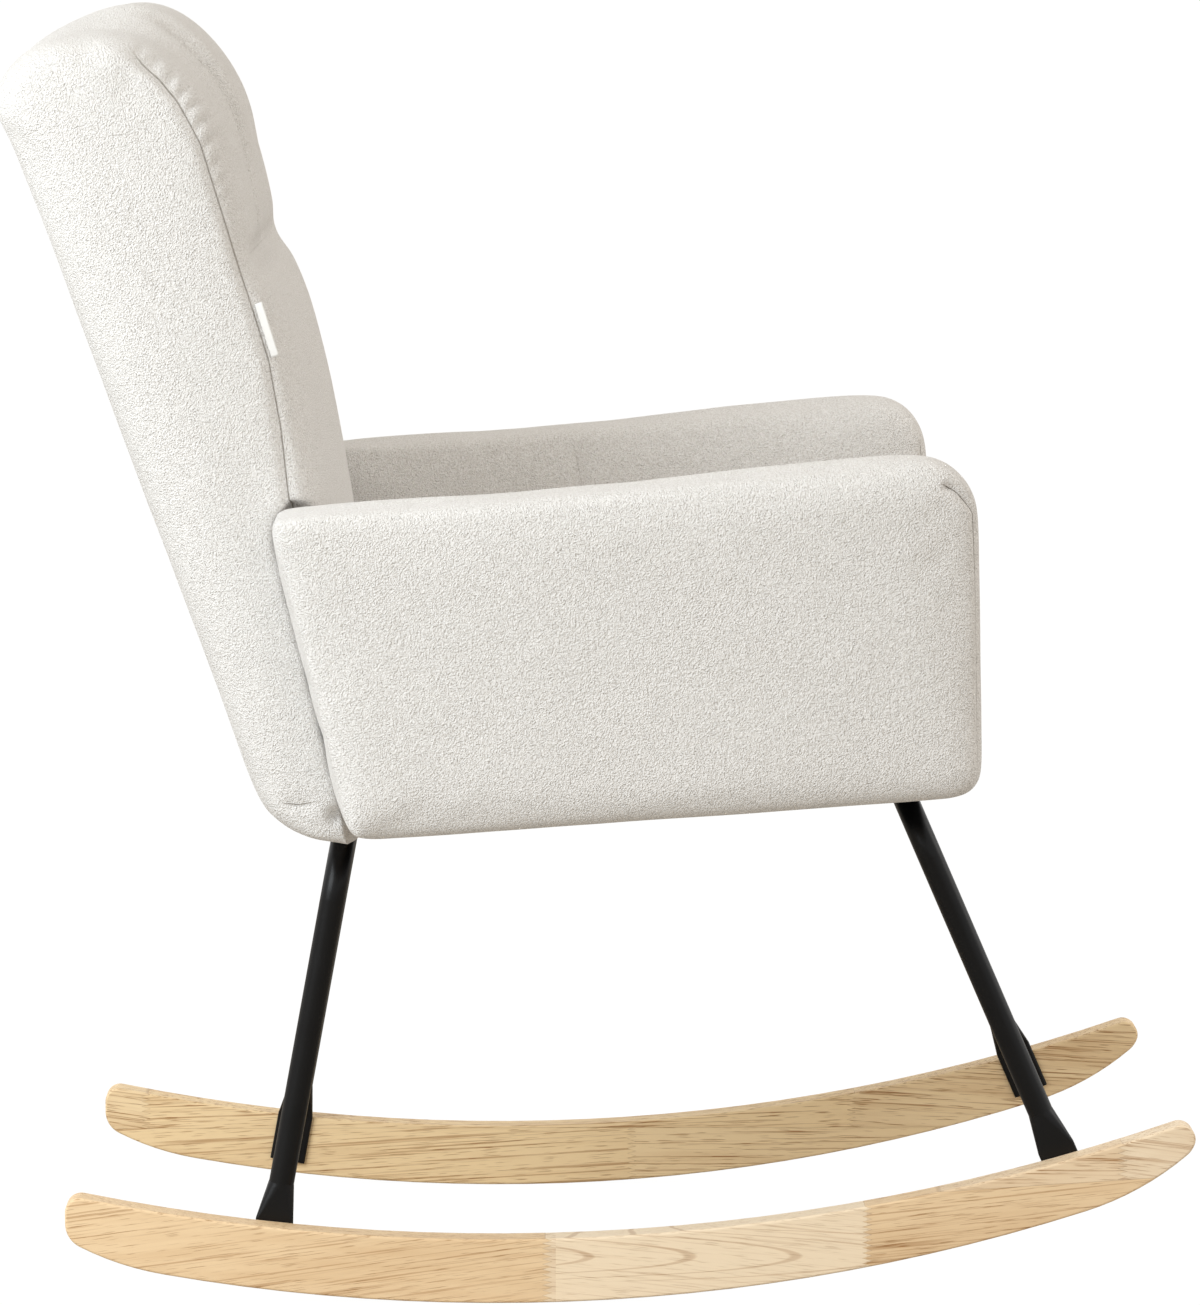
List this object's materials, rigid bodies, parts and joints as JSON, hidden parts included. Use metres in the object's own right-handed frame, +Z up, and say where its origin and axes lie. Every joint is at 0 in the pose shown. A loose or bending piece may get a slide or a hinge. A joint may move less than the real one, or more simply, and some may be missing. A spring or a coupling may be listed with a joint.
{
  "type": "rocking chair",
  "caption": "Upholstered rocking armchair with a high tufted back, padded arms, bent steel tube legs and curved wooden rockers.",
  "frame": {"origin": "on the floor, in the middle of the chair's length and width", "axes": "+X to the chair's front, +Y to the sitter's left, +Z up"},
  "size_m": [0.8953, 0.714, 0.9783],
  "materials": {
    "rocker_wood": "clear satin lacquer",
    "black_steel": "satin powder coat",
    "zinc_steel": "zinc plated",
    "insert_brass": "plain",
    "frame_wood": "unfinished",
    "fibreboard": "unfinished",
    "webbing": "woven elastic",
    "foam": "open cell",
    "teddy_fabric": "short teddy nap",
    "dust_cloth": "non-woven",
    "tag_cloth": "woven"
  },
  "bodies": {
    "root": {"left_rocker": "rocker_wood", "right_rocker": "rocker_wood", "front_leg_tube": "black_steel", "rear_leg_tube": "black_steel", "left_seat_bar": "black_steel", "right_seat_bar": "black_steel", "rocker_screws": "zinc_steel", "seat_bolts": "zinc_steel", "seat_washers": "zinc_steel", "seat_tee_nuts": "zinc_steel", "arm_bolts": "zinc_steel", "arm_tee_nuts": "zinc_steel", "back_bolts": "zinc_steel", "back_flange_nuts": "zinc_steel", "rocker_inserts": "insert_brass", "seat_front_rail": "frame_wood", "seat_rear_rail": "frame_wood", "seat_left_rail": "frame_wood", "seat_right_rail": "frame_wood", "left_arm_board": "frame_wood", "right_arm_board": "frame_wood", "back_left_stile": "frame_wood", "back_right_stile": "frame_wood", "back_bottom_rail": "frame_wood", "back_middle_rail": "frame_wood", "back_top_rail": "frame_wood", "back_rear_panel": "fibreboard", "seat_long_webbing": "webbing", "seat_cross_webbing": "webbing", "back_webbing": "webbing", "seat_foam": "foam", "left_arm_foam": "foam", "right_arm_foam": "foam", "back_foam": "foam", "back_rear_wadding": "foam", "seat_cover": "teddy_fabric", "left_arm_cover": "teddy_fabric", "right_arm_cover": "teddy_fabric", "back_cover": "teddy_fabric", "dust_cover": "dust_cloth", "side_tag": "tag_cloth"}
  },
  "joints": []
}
